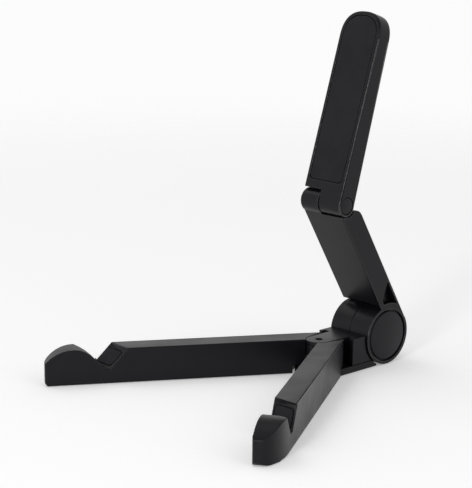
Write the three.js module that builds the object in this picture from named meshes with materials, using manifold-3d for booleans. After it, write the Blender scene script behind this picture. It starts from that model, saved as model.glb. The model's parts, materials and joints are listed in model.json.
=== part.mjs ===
// Folding tablet stand: a hub with two swinging legs, a lower arm on a barrel hinge and an
// upper arm on an elbow hinge. Millimetres, +Z up. The origin is the centre of the rubber
// foot under the hub, on the surface the stand rests on. +X runs along the barrel hinge,
// -Y points to the front, where the legs reach and the tablet stands.
import * as THREE from 'three';
import { mergeVertices } from 'three/addons/utils/BufferGeometryUtils.js';
import Module from 'manifold-3d';

const wasm = await Module();
wasm.setup();

// ---- driving dimensions -------------------------------------------------------------
const HALF_W = 13; // half the width of hub and arms
const BARREL_R = 15.1; // barrel hinge radius
const FOOT_PROUD = 0.4; // rubber feet stand proud of the plastic undersides
const AXIS_Z = BARREL_R + FOOT_PROUD; // barrel axis above the surface
const AXIS_Y = 16; // barrel axis behind the hub foot's centre
const GAP = 0.3; // clearance between touching pieces
const RUN = 0.4; // running clearance around the barrel

const PIVOT_Y = -37.1; // leg pivot in front of the barrel axis
const LEG_W = 11.9;
const LEG_IN = 0.45; // leg's inner face from the pivot plane
const LEG_H = 17.4;
const LEG_L = 135.8; // pivot to tip
const LEG_SPLAY = 31.9; // degrees at rest
const NOTCH_TURN = 30; // the notch lines up across both legs when they are open
const NOTCH_TOP = 40.3; // all notch lengths are measured back from the tip, at the inner face
const NOTCH_FLAT = [31.6, 28.6];
const NOTCH_DEPTH = 9.8;
const ROOT_R = 11.7; // leg root's round end

const ARM_T = 12.1; // lower arm thickness
const ARM_FRONT = BARREL_R - ARM_T; // front face above the barrel axis when folded
const ARM_L = 78.3; // barrel axis to elbow axis
const ARM_START = 17.15; // front face starts this far from the barrel axis
const ARM_ANGLE = 58.9; // degrees above the forward horizontal at rest

const ELBOW_R = 5.4;
const ELBOW_Z = ARM_FRONT + ELBOW_R; // elbow axis above the barrel axis when folded
const ELBOW_LOW_R = 6.0; // the lower arm's own knuckle is a little larger
const ELBOW_SPLIT = -1.2; // x of the split between the two elbow knuckles
const UPPER_ROOT_T = 10.7; // upper arm thickness at the elbow and at the tip
const UPPER_TIP_T = 8.2;
const UPPER_L = 94.6; // elbow axis to tip
const UPPER_ANGLE = 48.3; // degrees from the lower arm at rest
const PAD_MARGIN = 2.2;

const PLASTIC = { color: 0x222226, roughness: 0.42, metalness: 0 };
const CAP = { color: 0x26262a, roughness: 0.35, metalness: 0 };
const RUBBER = { color: 0x19191b, roughness: 0.8, metalness: 0 };
const STEEL = { color: 0xc9cbcf, roughness: 0.28, metalness: 1 };
const NYLON = { color: 0xd8d6cc, roughness: 0.55, metalness: 0 };

const rad = THREE.MathUtils.degToRad;

// ---- solid helpers ------------------------------------------------------------------
function toSolid(geometry) {
  geometry.deleteAttribute('normal');
  geometry.deleteAttribute('uv');
  const merged = mergeVertices(geometry, 1e-4);
  return new wasm.Manifold(new wasm.Mesh({
    numProp: 3,
    vertProperties: new Float32Array(merged.attributes.position.array),
    triVerts: new Uint32Array(merged.index.array),
  }));
}

function toGeometry(solid) {
  const mesh = solid.getMesh();
  const geometry = new THREE.BufferGeometry();
  geometry.setAttribute('position', new THREE.BufferAttribute(mesh.vertProperties, 3));
  geometry.setIndex(new THREE.BufferAttribute(mesh.triVerts, 1));
  return geometry;
}

function addAll(first, ...rest) {
  return rest.reduce((sum, one) => sum.add(one), first);
}

function cutAll(first, ...rest) {
  return rest.reduce((left, one) => left.subtract(one), first);
}

function shapeOf(points) {
  return new THREE.Shape(points.map(([a, b]) => new THREE.Vector2(a, b)));
}

// Prism over an outline of [reach, height] points, where reach runs towards -Y.
function slabX(points, x0, x1) {
  const geometry = new THREE.ExtrudeGeometry(shapeOf(points), { depth: x1 - x0, bevelEnabled: false });
  const place = new THREE.Matrix4().set(0, 0, 1, x0, -1, 0, 0, 0, 0, 1, 0, 0, 0, 0, 0, 1);
  geometry.applyMatrix4(place);
  flipIfMirrored(geometry, place);
  return toSolid(geometry);
}

// Prism over an outline of [x, y] points between two heights.
function slabZ(points, z0, z1) {
  const geometry = new THREE.ExtrudeGeometry(shapeOf(points), { depth: z1 - z0, bevelEnabled: false });
  geometry.translate(0, 0, z0);
  return toSolid(geometry);
}

function flipIfMirrored(geometry, matrix) {
  if (matrix.determinant() > 0) return;
  const place = geometry.attributes.position;
  const corner = new THREE.Vector3();
  for (let i = 0; i < place.count; i += 3) {
    corner.fromBufferAttribute(place, i);
    place.setXYZ(i, place.getX(i + 1), place.getY(i + 1), place.getZ(i + 1));
    place.setXYZ(i + 1, corner.x, corner.y, corner.z);
  }
}

function box(x0, x1, y0, y1, z0, z1) {
  const geometry = new THREE.BoxGeometry(x1 - x0, y1 - y0, z1 - z0);
  geometry.translate((x0 + x1) / 2, (y0 + y1) / 2, (z0 + z1) / 2);
  return toSolid(geometry);
}

// Cylinder along X between x0 and x1, on the axis through reach u and height z.
function rodX(r, x0, x1, u = 0, z = 0, sides = 64) {
  const geometry = new THREE.CylinderGeometry(r, r, x1 - x0, sides);
  geometry.rotateZ(Math.PI / 2);
  geometry.translate((x0 + x1) / 2, -u, z);
  return toSolid(geometry);
}

function rodZ(r, z0, z1, x = 0, y = 0, sides = 40) {
  const geometry = new THREE.CylinderGeometry(r, r, z1 - z0, sides);
  geometry.rotateX(Math.PI / 2);
  geometry.translate(x, y, (z0 + z1) / 2);
  return toSolid(geometry);
}

function arc(cu, cv, r, from, to, steps) {
  const points = [];
  for (let i = 0; i <= steps; i += 1) {
    const a = rad(from + ((to - from) * i) / steps);
    points.push([cu + r * Math.cos(a), cv + r * Math.sin(a)]);
  }
  return points;
}

function roundedRect(x0, x1, y0, y1, r, steps = 6) {
  return [
    ...arc(x1 - r, y0 + r, r, -90, 0, steps),
    ...arc(x1 - r, y1 - r, r, 0, 90, steps),
    ...arc(x0 + r, y1 - r, r, 90, 180, steps),
    ...arc(x0 + r, y0 + r, r, 180, 270, steps),
  ];
}

function piece(name, solid, finish) {
  const mesh = new THREE.Mesh(toGeometry(solid), new THREE.MeshStandardMaterial(finish));
  mesh.name = name;
  return mesh;
}

// ---- hub ----------------------------------------------------------------------------
const BLOCK_HALF = 11.9; // hub block and cheeks are narrower than the barrel rims
const BLOCK_FRONT = -22.6;
const CHEEK_FRONT = -24.8;
const CHEEK_T = 2.2;
const TONGUE_HALF = 6.6;
const TONGUE_T = 2.2;
const BASE_TOP = 3.4 + FOOT_PROUD;
const HUB_TOP = LEG_H + FOOT_PROUD;
const CAP_R = 13.0;
const CAP_GAP = 0.65; // open groove round the end caps
const CAP_SEAT = 1.5;
const BOLT_R = 2.5;
const PIN_R = 2.3;
const FRICTION_R = [5.2, 10.8];
const FRICTION_T = 1.6;
const HUB_SCREWS = [[-8.5, -19], [8.5, -19]];
const SCREW_R = 1.25;

function hubBody() {
  const floor = FOOT_PROUD;
  const knuckle = rodX(BARREL_R, -HALF_W, -0.2, 0, AXIS_Z, 96);
  const rim = BARREL_R + RUN;
  const block = box(-BLOCK_HALF, BLOCK_HALF, BLOCK_FRONT, -4, floor, HUB_TOP);
  const cheeks = [-1, 1].map((side) => {
    const outer = side * BLOCK_HALF;
    const inner = side * (BLOCK_HALF - CHEEK_T);
    return box(Math.min(outer, inner), Math.max(outer, inner), CHEEK_FRONT, BLOCK_FRONT + 1, BASE_TOP + GAP, HUB_TOP);
  });
  const tongue = slabZ([
    [-TONGUE_HALF, BLOCK_FRONT + 1],
    [-TONGUE_HALF, PIVOT_Y],
    ...arc(0, PIVOT_Y, TONGUE_HALF, 180, 360, 24).slice(1, -1),
    [TONGUE_HALF, PIVOT_Y],
    [TONGUE_HALF, BLOCK_FRONT + 1],
  ], HUB_TOP - TONGUE_T, HUB_TOP);
  let body = addAll(block, ...cheeks, tongue);
  body = body.subtract(rodX(rim, -0.2, HALF_W + 1, 0, AXIS_Z, 96));
  body = body.subtract(box(-0.2, HALF_W + 1, -6.6, 0, -1, 3));
  body = body.add(knuckle);
  body = cutAll(
    body,
    // The lower half of the block is the base plate's seat.
    slabZ(baseOutline(GAP), -1, BASE_TOP + GAP),
    rodX(CAP_R + CAP_GAP, -HALF_W - 1, -HALF_W + CAP_SEAT, 0, AXIS_Z, 64),
    rodX(BOLT_R + 0.15, -HALF_W, 0, 0, AXIS_Z, 32),
    rodX(3.1, -HALF_W, -HALF_W + 3.4, 0, AXIS_Z, 32),
    rodX(FRICTION_R[1] + 0.3, -FRICTION_T - 0.2, 0, 0, AXIS_Z, 48),
    rodZ(1.8, HUB_TOP - TONGUE_T - 1, HUB_TOP + 1, 0, PIVOT_Y, 32),
    ...HUB_SCREWS.map(([x, y]) => rodZ(SCREW_R + 0.1, 2, 12, x, y, 20)),
  );
  return body;
}

// Outline of the plate under the hub, grown by a clearance.
function baseOutline(grow) {
  const half = BLOCK_HALF;
  return [
    [half, PIVOT_Y],
    [half, -7.4 + grow],
    [-half, -7.4 + grow],
    [-half, PIVOT_Y],
    ...arc(0, PIVOT_Y, half, 180, 360, 40).slice(1, -1),
  ];
}

function hubBasePlate() {
  const plate = slabZ(baseOutline(0), FOOT_PROUD, BASE_TOP);
  const clearBarrel = rodX(BARREL_R + RUN, -HALF_W - 1, HALF_W + 1, 0, AXIS_Z, 96);
  return cutAll(
    plate,
    clearBarrel,
    rodZ(3.9, -1, FOOT_PROUD + 1.7, 0, PIVOT_Y, 32),
    rodZ(PIN_R + 0.2, 0, BASE_TOP + 1, 0, PIVOT_Y, 32),
    slabZ(roundedRect(-5.5, 5.5, -AXIS_Y - 5, -AXIS_Y + 5, 2), -1, FOOT_PROUD + 0.6),
    ...HUB_SCREWS.map(([x, y]) => rodZ(2.5, -1, FOOT_PROUD + 1.5, x, y, 24)),
    ...HUB_SCREWS.map(([x, y]) => rodZ(SCREW_R + 0.1, 0, BASE_TOP + 1, x, y, 20)),
  );
}

function hubFootPad() {
  return slabZ(roundedRect(-5.2, 5.2, -AXIS_Y - 4.7, -AXIS_Y + 4.7, 1.7), 0, FOOT_PROUD + 0.3);
}

function hubScrew([x, y]) {
  return addAll(
    rodZ(2.2, FOOT_PROUD + 0.1, FOOT_PROUD + 1.2, x, y, 24),
    rodZ(SCREW_R - 0.2, FOOT_PROUD + 1.1, 11, x, y, 20),
  );
}

function endCap(side) {
  const face = side * (HALF_W - 0.1);
  const back = side * (HALF_W - CAP_SEAT + GAP);
  let cap = rodX(CAP_R, Math.min(face, back), Math.max(face, back), 0, 0, 64);
  if (side < 0) cap = cap.subtract(rodX(3.1, -HALF_W - 1, 0, 0, 0, 32));
  return cap;
}

function barrelBolt() {
  return addAll(
    rodX(2.75, -HALF_W - 0.1, -HALF_W + 3.0, 0, 0, 32),
    rodX(BOLT_R, -HALF_W + 2.9, 9.6, 0, 0, 32),
  );
}

function ringX(outer, inner, x0, x1, sides = 48) {
  return rodX(outer, x0, x1, 0, 0, sides).subtract(rodX(inner, x0 - 1, x1 + 1, 0, 0, sides));
}

function barrelNut() {
  return rodX(4.6, 7.2, 10.4, 0, 0, 6).subtract(rodX(BOLT_R + 0.15, 6, 12, 0, 0, 32));
}

function legPin() {
  return addAll(
    rodZ(3.5, FOOT_PROUD + 0.3, FOOT_PROUD + 1.4, 0, PIVOT_Y, 32),
    rodZ(PIN_R - 0.3, FOOT_PROUD + 1.3, 15.2, 0, PIVOT_Y, 32),
    rodZ(1.5, 15.1, HUB_TOP - 0.9, 0, PIVOT_Y, 32),
  );
}

function legWasher() {
  const ring = rodZ(6.2, 9.35, 9.75, 0, PIVOT_Y, 36);
  return ring.subtract(rodZ(PIN_R, 9, 10, 0, PIVOT_Y, 32));
}

// ---- legs ---------------------------------------------------------------------------
// Modelled folded, on the +X side, with the pivot at the origin and the tip towards -Y.
const KNUCKLE_R = 6.5;
const KNUCKLE_LOW = [BASE_TOP + GAP, 9.2];
const KNUCKLE_HIGH = [9.9, HUB_TOP - TONGUE_T - GAP];
const TONGUE_SLOT = KNUCKLE_HIGH[1];
const LEG_OUT = LEG_IN + LEG_W;
const PLATE_SWEEP_R = 13.2; // room under the root for the plate at every splay
const COVER = { from: 26, to: 112, margin: 1.6, t: 1.5 };
const LEG_PAD = { from: 6.5, to: 20.5, margin: 1.9, t: 0.7 };
const LEG_SCREWS = { front: 36, rear: 100 };
const NOTCH_PAD = { side: 1.5, far: 12.2, top: 3.0, low: 12.0, r: 1.8 };
const TIP_ROUND = { long: 18, wide: 8.1 }; // half axes of the leg tip's outer corner
const SEAM = { inset: 0.45, width: 0.4, depth: 0.5, from: 4.5, to: 103 };

// Side outline of a leg as [reach, height], from the root round the tip and back.
function legProfile() {
  const tip = LEG_L;
  const z = FOOT_PROUD;
  const hook = [
    [0, 1.2], [0, 11.3], [1.3, 12.6], [3.4, 14.2], [6, 15.7], [8.6, 16.7], [11.4, 17.3], [14.4, 17.5],
    [17.2, 17.1], [19.8, 16.1], [22, 14.6], [24.2, 12.4],
  ];
  return [
    [-ROOT_R, z], [tip - 1.2, z],
    ...hook.map(([back, up]) => [tip - back, up + z]),
    [tip - 24.2, LEG_H + z], [-ROOT_R, LEG_H + z],
  ];
}

// Plan outline of a leg as [x, y]: round root, small inner and large outer tip corner.
function legPlan() {
  const innerTip = 1.4;
  const corner = arc(0, 0, 1, -90, 0, 16).map(([c, d]) => [
    LEG_OUT + TIP_ROUND.wide * (c - 1), -LEG_L + TIP_ROUND.long * (d + 1),
  ]);
  return [
    [LEG_IN, 0],
    [LEG_IN, -LEG_L + innerTip],
    ...arc(LEG_IN + innerTip, -LEG_L + innerTip, innerTip, 180, 270, 5).slice(1, -1),
    [LEG_IN + innerTip, -LEG_L],
    ...corner,
    [LEG_OUT, -4],
    ...arc(0, 0, LEG_OUT - 0.05, -14, 52, 14).slice(1),
  ];
}

// V-shaped cutter for the tablet's edge, sheared so that both legs' notches line up.
function notchCutter() {
  const top = LEG_H + FOOT_PROUD;
  const low = top - NOTCH_DEPTH;
  const rise = 3;
  const slope = (NOTCH_TOP - NOTCH_FLAT[0]) / NOTCH_DEPTH;
  const lean = 0.72;
  const outline = [
    [LEG_L - NOTCH_FLAT[0], low],
    [LEG_L - NOTCH_FLAT[1], low],
    [LEG_L - NOTCH_FLAT[1] + lean * (NOTCH_DEPTH + rise), top + rise],
    [LEG_L - NOTCH_TOP - slope * rise, top + rise],
  ];
  return shearAcross(outline);
}

function shearAcross(outline) {
  const across = Math.tan(rad(NOTCH_TURN));
  const geometry = new THREE.ExtrudeGeometry(shapeOf(outline), { depth: LEG_W + 4, bevelEnabled: false });
  const place = new THREE.Matrix4().set(0, 0, 1, LEG_IN - 2, -1, 0, -across, 2 * across, 0, 1, 0, 0, 0, 0, 0, 1);
  geometry.applyMatrix4(place);
  flipIfMirrored(geometry, place);
  return toSolid(geometry);
}

// The slope that the tablet's edge leans on, as a frame: corner, down-slope and across axes.
function slopeFrame() {
  const top = new THREE.Vector3(LEG_IN, -(LEG_L - NOTCH_TOP), LEG_H + FOOT_PROUD);
  const down = new THREE.Vector3(0, -(NOTCH_TOP - NOTCH_FLAT[0]), -NOTCH_DEPTH).normalize();
  const across = new THREE.Vector3(Math.cos(rad(NOTCH_TURN)), -Math.sin(rad(NOTCH_TURN)), 0);
  const out = new THREE.Vector3().crossVectors(down, across).normalize();
  return { top, down, across, out };
}

// Rounded pad outline placed on the notch's slope, from depth d0 to d1 along its normal.
function slopePad(grow, d0, d1) {
  const { top, down, across, out } = slopeFrame();
  const outline = roundedRect(
    NOTCH_PAD.side - grow, NOTCH_PAD.far + grow, NOTCH_PAD.top - grow, NOTCH_PAD.low + grow, NOTCH_PAD.r,
  );
  const geometry = new THREE.ExtrudeGeometry(shapeOf(outline), { depth: d1 - d0, bevelEnabled: false });
  const basis = new THREE.Matrix4().makeBasis(across, down, out);
  basis.setPosition(top.clone().addScaledVector(out, d0));
  geometry.applyMatrix4(basis);
  flipIfMirrored(geometry, basis);
  return toSolid(geometry);
}

// Plan outline of the room that the hub's tongue needs while the leg swings.
function tongueSweep() {
  const neck = TONGUE_HALF + GAP;
  const swing = 40;
  const reach = 30;
  const along = [Math.sin(rad(swing)), Math.cos(rad(swing))];
  return [
    [-neck, reach],
    ...arc(0, 0, neck, 180, 360 - swing, 24),
    [neck * along[1] + reach * along[0], reach * along[1] - neck * along[0]],
  ];
}

// Narrow groove beside the outer top edge, where the leg's top and side meet.
function seamCutter() {
  const top = LEG_H + FOOT_PROUD;
  return box(LEG_OUT - SEAM.inset - SEAM.width, LEG_OUT - SEAM.inset, -SEAM.to, -SEAM.from, top - SEAM.depth, top + 1);
}

function legShell(knuckle, other) {
  let leg = slabX(legProfile(), LEG_IN - 1, LEG_OUT + 1);
  leg = leg.intersect(slabZ(legPlan(), FOOT_PROUD, LEG_H + FOOT_PROUD + 1));
  const keepOut = KNUCKLE_R + 0.4;
  leg = cutAll(
    leg,
    notchCutter(),
    slabZ(tongueSweep(), TONGUE_SLOT, HUB_TOP + 2),
    seamCutter(),
    // Room for the plate under the hub, for the other leg's knuckle and for this one's washer.
    rodZ(PLATE_SWEEP_R, -1, BASE_TOP + GAP, 0, 0, 64),
    box(-20, 20, 0, 20, -1, BASE_TOP + GAP),
    rodZ(keepOut, other[0] - 0.5, other[1] + 0.7, 0, 0, 48),
    rodZ(keepOut, 9.15, 9.95, 0, 0, 48),
  );
  leg = leg.add(rodZ(KNUCKLE_R, knuckle[0], knuckle[1], 0, 0, 48));
  leg = cutAll(
    leg,
    rodZ(PIN_R, 0, 20, 0, 0, 32),
    slopePad(0.25, -1.0, 1),
    slabZ(coverOutline(0.25), -1, FOOT_PROUD + COVER.t + 0.25),
    slabZ(footOutline(0.25), -1, FOOT_PROUD + LEG_PAD.t),
    ...Object.values(LEG_SCREWS).map((back) => rodZ(1.2, 0, 9, ...legMiddle(back), 20)),
  );
  return leg;
}

function coverOutline(grow) {
  return roundedRect(
    LEG_IN + COVER.margin - grow, LEG_OUT - COVER.margin + grow,
    -LEG_L + COVER.from - grow, -LEG_L + COVER.to + grow, 1.5,
  );
}

function footOutline(grow) {
  return roundedRect(
    LEG_IN + LEG_PAD.margin - grow, LEG_OUT - LEG_PAD.margin + grow,
    -LEG_L + LEG_PAD.from - grow, -LEG_L + LEG_PAD.to + grow, 2.4,
  );
}

function legCover() {
  return cutAll(
    slabZ(coverOutline(0), FOOT_PROUD, FOOT_PROUD + COVER.t),
    ...Object.values(LEG_SCREWS).map((back) => rodZ(1.3, 0, 3, ...legMiddle(back), 20)),
    ...Object.values(LEG_SCREWS).map((back) => rodZ(2.2, 0, FOOT_PROUD + 0.9, ...legMiddle(back), 20)),
  );
}

function legMiddle(back) {
  return [LEG_IN + LEG_W / 2, -LEG_L + back];
}

function legScrew(back) {
  return addAll(
    rodZ(2.0, FOOT_PROUD + 0.05, FOOT_PROUD + 0.7, ...legMiddle(back), 20),
    rodZ(1.0, FOOT_PROUD + 0.6, 8, ...legMiddle(back), 16),
  );
}

function legFootPad() {
  return slabZ(footOutline(0), 0, FOOT_PROUD + LEG_PAD.t - GAP);
}

function notchPad() {
  return slopePad(0, -0.75, 0.15);
}

// A leg's pieces on its pivot. The left leg is the right one mirrored, with the low knuckle.
function legGroup(side) {
  const label = side > 0 ? 'right' : 'left';
  const knuckles = side > 0 ? [KNUCKLE_HIGH, KNUCKLE_LOW] : [KNUCKLE_LOW, KNUCKLE_HIGH];
  const group = new THREE.Group();
  const parts = [
    [`leg_${label}`, legShell(...knuckles), PLASTIC],
    [`leg_${label}_base_cover`, legCover(), PLASTIC],
    ...Object.entries(LEG_SCREWS).map(([where, back]) => [`leg_${label}_screw_${where}`, legScrew(back), STEEL]),
    [`leg_${label}_foot_pad`, legFootPad(), RUBBER],
    [`leg_${label}_notch_pad`, notchPad(), RUBBER],
  ];
  for (const [name, solid, finish] of parts) {
    const placed = side > 0 ? solid : solid.mirror([1, 0, 0]);
    group.add(piece(name, placed, finish));
  }
  group.position.set(0, PIVOT_Y, 0);
  group.rotation.z = rad(side * LEG_SPLAY);
  return group;
}

// ---- lower arm ----------------------------------------------------------------------
// Modelled folded forward, with the barrel axis at the origin: reach runs towards -Y, the
// front face looks down and the rear face looks up.
const SEAT_R = BARREL_R + RUN;
const SHOULDER_R = 4.6;
const SEAT_GAP = 0.9;

function armElbowEnd(side) {
  // Rear shoulder seen from the elbow axis; +X side makes room for the upper arm's knuckle.
  const top = BARREL_R;
  const u = ARM_L;
  if (side > 0) {
    const seat = ELBOW_R + SEAT_GAP;
    // The seat's arc starts exactly in the front face.
    const start = 180 + THREE.MathUtils.radToDeg(Math.asin(ELBOW_R / seat));
    return [
      ...arc(u, ELBOW_Z, seat, start, 162, 12),
      [u - 6.3, ELBOW_Z + 2.4],
      ...arc(u - 6.3 - SHOULDER_R + 0.6, top - SHOULDER_R, SHOULDER_R, 0, 90, 8).slice(1),
    ];
  }
  return [
    [u, ARM_FRONT],
    [u - 3.9, ELBOW_Z + 3.6],
    [u - 6.5, ELBOW_Z + 5.6],
    [u - 6.5, top - 1.2],
    [u - 7.7, top],
  ];
}

function armHalf(side) {
  const x0 = side > 0 ? ELBOW_SPLIT : -HALF_W;
  const x1 = side > 0 ? HALF_W : ELBOW_SPLIT;
  return slabX([[ARM_START, ARM_FRONT], ...armElbowEnd(side), [ARM_START, BARREL_R]], x0, x1);
}

function armShell() {
  const cheek = 1.7;
  const recess = 6.0;
  const fold = [[0, BARREL_R], [0, recess], [ARM_START + 0.1, recess], [ARM_START + 0.1, BARREL_R]];
  const web = [[0, BARREL_R], [0, ARM_FRONT], [ARM_START + 0.1, ARM_FRONT], [ARM_START + 0.1, BARREL_R]];
  const left = [[14, BARREL_R], [11.2, recess + 3.6], [11.2, recess], [ARM_START + 0.1, recess], [ARM_START + 0.1, BARREL_R]];
  const pocketRight = [
    [25.2, 13.9], [21.0, 8.5], [18.6, 5.9], [16.6, 5.3], ...arc(0, 0, 16.9, 20, 55, 8),
  ];
  const pocketLeft = [
    [25.6, 12.9], [21.0, 7.6], [18.9, 5.6], ...arc(0, 0, 17.3, 18, 36, 5), [15.2, 12.9],
  ];
  const depth = 4.2;
  let shell = addAll(
    armHalf(-1),
    armHalf(1),
    slabX(left, -HALF_W, 1),
    slabX(fold, 0.2, HALF_W),
    slabX(web, HALF_W - cheek, HALF_W),
    rodX(ELBOW_LOW_R, -HALF_W, ELBOW_SPLIT - 0.2, ARM_L, ELBOW_Z, 64),
  );
  shell = shell.subtract(rodX(SEAT_R, -HALF_W - 1, 0.2, 0, 0, 96));
  shell = shell.add(rodX(BARREL_R, 0.2, HALF_W, 0, 0, 96));
  shell = cutAll(
    shell,
    slabX(pocketRight, HALF_W - depth, HALF_W + 1),
    slabX(pocketLeft, -HALF_W - 1, -HALF_W + depth),
    rodX(CAP_R + CAP_GAP, HALF_W - CAP_SEAT, HALF_W + 1, 0, 0, 64),
    rodX(8.6, 4.4, HALF_W, 0, 0, 48),
    rodX(BOLT_R + 0.2, 0, 5, 0, 0, 32),
    rodX(FRICTION_R[1] + 0.3, 0, FRICTION_T + 0.2, 0, 0, 48),
    // Elbow pin bore with a counterbore for its head.
    rodX(1.9, -HALF_W - 1, 0, ARM_L, ELBOW_Z, 24),
    rodX(2.6, -HALF_W - 1, -HALF_W + 1.5, ARM_L, ELBOW_Z, 24),
  );
  return shell;
}

// ---- upper arm ----------------------------------------------------------------------
// Modelled folded, with the elbow axis at the origin.
const UPPER_FRONT = -ELBOW_R;
const LOW_KNUCKLE_RUN = 0.4; // clearance around the lower arm's knuckle
const UPPER_LIP = 5.6; // the half beside that knuckle starts here in front
const TIP_ROUND_L = 13.2; // length of the round tip
const TIP_FULLNESS = 2.5; // exponent of the tip's outline, 2 is an ellipse
const ELBOW_WASHER_R = 3.9;
const PLUG_R = 4.2;
const PAD_START = 9.9;
const PAD_SEAT = 1.4;
const UPPER_HOLLOW = { from: 14, to: 78, margin: 4.2 };

// Outline of the round tip as [x, y], inset from the arm's sides.
function tipOutline(inset, steps) {
  const half = HALF_W - inset;
  const long = TIP_ROUND_L - inset;
  const base = UPPER_L - TIP_ROUND_L;
  const points = [];
  for (let i = 0; i <= steps; i += 1) {
    const a = Math.PI * (i / steps);
    const across = Math.abs(Math.cos(a)) ** (2 / TIP_FULLNESS) * Math.sign(Math.cos(a));
    points.push([half * across, -base - long * Math.abs(Math.sin(a)) ** (2 / TIP_FULLNESS)]);
  }
  return points;
}

function upperPlan() {
  return [...tipOutline(0, 48), [-HALF_W, 0], [HALF_W, 0]].reverse();
}

// Side outline of the room for the lower arm's knuckle: round, with a flat front lip and rear.
function knuckleRoom() {
  const r = ELBOW_LOW_R + LOW_KNUCKLE_RUN;
  const lip = THREE.MathUtils.radToDeg(Math.acos(UPPER_LIP / r));
  return [[-1, -10], [UPPER_LIP, -10], ...arc(0, 0, r, -lip, 0, 8), [r, 10], [-1, 10]];
}

function upperShell() {
  const rearRoot = UPPER_FRONT + UPPER_ROOT_T;
  const rearTip = UPPER_FRONT + UPPER_TIP_T;
  const side = [[0, UPPER_FRONT], [UPPER_L + 1, UPPER_FRONT], [UPPER_L + 1, rearTip], [0, rearRoot]];
  let shell = slabX(side, -HALF_W - 1, HALF_W + 1);
  shell = shell.intersect(slabZ(upperPlan(), -10, 10));
  shell = cutAll(
    shell,
    slabX(knuckleRoom(), -HALF_W - 1, ELBOW_SPLIT),
  );
  shell = shell.add(rodX(ELBOW_R, ELBOW_SPLIT, HALF_W, 0, 0, 48));
  const padSeat = slabZ(padOutline(0.3), UPPER_FRONT - 1, UPPER_FRONT + PAD_SEAT);
  return cutAll(
    shell,
    padSeat,
    rodX(1.9, -HALF_W, HALF_W - 3, 0, 0, 24),
    rodX(ELBOW_WASHER_R + 0.3, -HALF_W, ELBOW_SPLIT + 0.95, 0, 0, 36),
    rodX(PLUG_R + GAP, HALF_W - 4.4, HALF_W + 1, 0, 0, 48),
    box(
      -HALF_W + UPPER_HOLLOW.margin, HALF_W - UPPER_HOLLOW.margin,
      -UPPER_HOLLOW.to, -UPPER_HOLLOW.from, UPPER_FRONT, UPPER_FRONT + 6,
    ),
  );
}

// Rounded pad outline: follows the tip, with small corners at the elbow end.
function padOutline(grow) {
  const half = HALF_W - PAD_MARGIN + grow;
  const r = 2.6;
  const start = PAD_START - grow;
  return [
    ...tipOutline(PAD_MARGIN - grow, 40),
    ...arc(-half + r, -start - r, r, 180, 90, 5),
    ...arc(half - r, -start - r, r, 90, 0, 5),
  ].reverse();
}

function upperPad() {
  return slabZ(padOutline(0), UPPER_FRONT - 0.1, UPPER_FRONT + PAD_SEAT - GAP);
}

function elbowPin() {
  return addAll(
    rodX(2.3, -HALF_W - 0.1, -HALF_W + 1.2, 0, 0, 32),
    rodX(1.6, -HALF_W + 1.1, HALF_W - 1.6, 0, 0, 24),
  );
}

function elbowNut() {
  return rodX(3.4, HALF_W - 4.1, HALF_W - 1.9, 0, 0, 6).subtract(rodX(1.75, 0, 20, 0, 0, 24));
}

function elbowCap() {
  return rodX(PLUG_R, HALF_W - 1.3, HALF_W - 0.1, 0, 0, 48);
}

function elbowWasher() {
  return ringX(ELBOW_WASHER_R, 1.9, ELBOW_SPLIT + 0.05, ELBOW_SPLIT + 0.65, 36);
}

// ---- assembly -----------------------------------------------------------------------
const stand = new THREE.Group();
const frame = new THREE.Group();
frame.position.set(0, AXIS_Y, 0);
stand.add(frame);

frame.add(
  piece('hub_body', hubBody(), PLASTIC),
  piece('hub_base_plate', hubBasePlate(), PLASTIC),
  piece('hub_screw_left', hubScrew(HUB_SCREWS[0]), STEEL),
  piece('hub_screw_right', hubScrew(HUB_SCREWS[1]), STEEL),
  piece('hub_foot_pad', hubFootPad(), RUBBER),
  piece('leg_pivot_pin', legPin(), STEEL),
  piece('leg_friction_washer', legWasher(), NYLON),
);

const barrel = new THREE.Group();
barrel.position.set(0, 0, AXIS_Z);
barrel.add(
  piece('hub_end_cap', endCap(-1), CAP),
  piece('barrel_bolt', barrelBolt(), STEEL),
  piece('hub_friction_ring', ringX(FRICTION_R[1], FRICTION_R[0], -FRICTION_T, -0.2), NYLON),
  piece('barrel_spring_washer', ringX(6.2, BOLT_R + 0.2, 4.8, 5.6), STEEL),
  piece('barrel_flat_washer', ringX(6.2, BOLT_R + 0.2, 5.9, 6.9), STEEL),
  piece('barrel_nut', barrelNut(), STEEL),
);
frame.add(barrel);

for (const side of [-1, 1]) frame.add(legGroup(side));

const lower = new THREE.Group();
lower.rotation.x = -rad(ARM_ANGLE);
lower.add(
  piece('lower_arm', armShell(), PLASTIC),
  piece('arm_end_cap', endCap(1), CAP),
  piece('arm_friction_ring', ringX(FRICTION_R[1], FRICTION_R[0], 0.2, FRICTION_T), NYLON),
);
barrel.add(lower);

const elbow = new THREE.Group();
elbow.position.set(0, -ARM_L, ELBOW_Z);
elbow.add(
  piece('elbow_pin', elbowPin(), STEEL),
  piece('elbow_washer', elbowWasher(), NYLON),
);
lower.add(elbow);

const upper = new THREE.Group();
upper.rotation.x = -rad(UPPER_ANGLE);
upper.add(
  piece('upper_arm', upperShell(), PLASTIC),
  piece('upper_arm_pad', upperPad(), RUBBER),
  piece('elbow_cap', elbowCap(), CAP),
  piece('elbow_nut', elbowNut(), STEEL),
);
elbow.add(upper);

export default stand;
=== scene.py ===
"""Folding tablet stand: looks of a hub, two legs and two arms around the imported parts.

Every length in the classes below is in millimetres unless its name says otherwise.
"""

import json
import logging
import math
from dataclasses import dataclass, field, replace
from enum import Enum
from typing import Callable, Iterable

import bmesh
import bpy
from mathutils import Matrix, Vector


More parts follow.
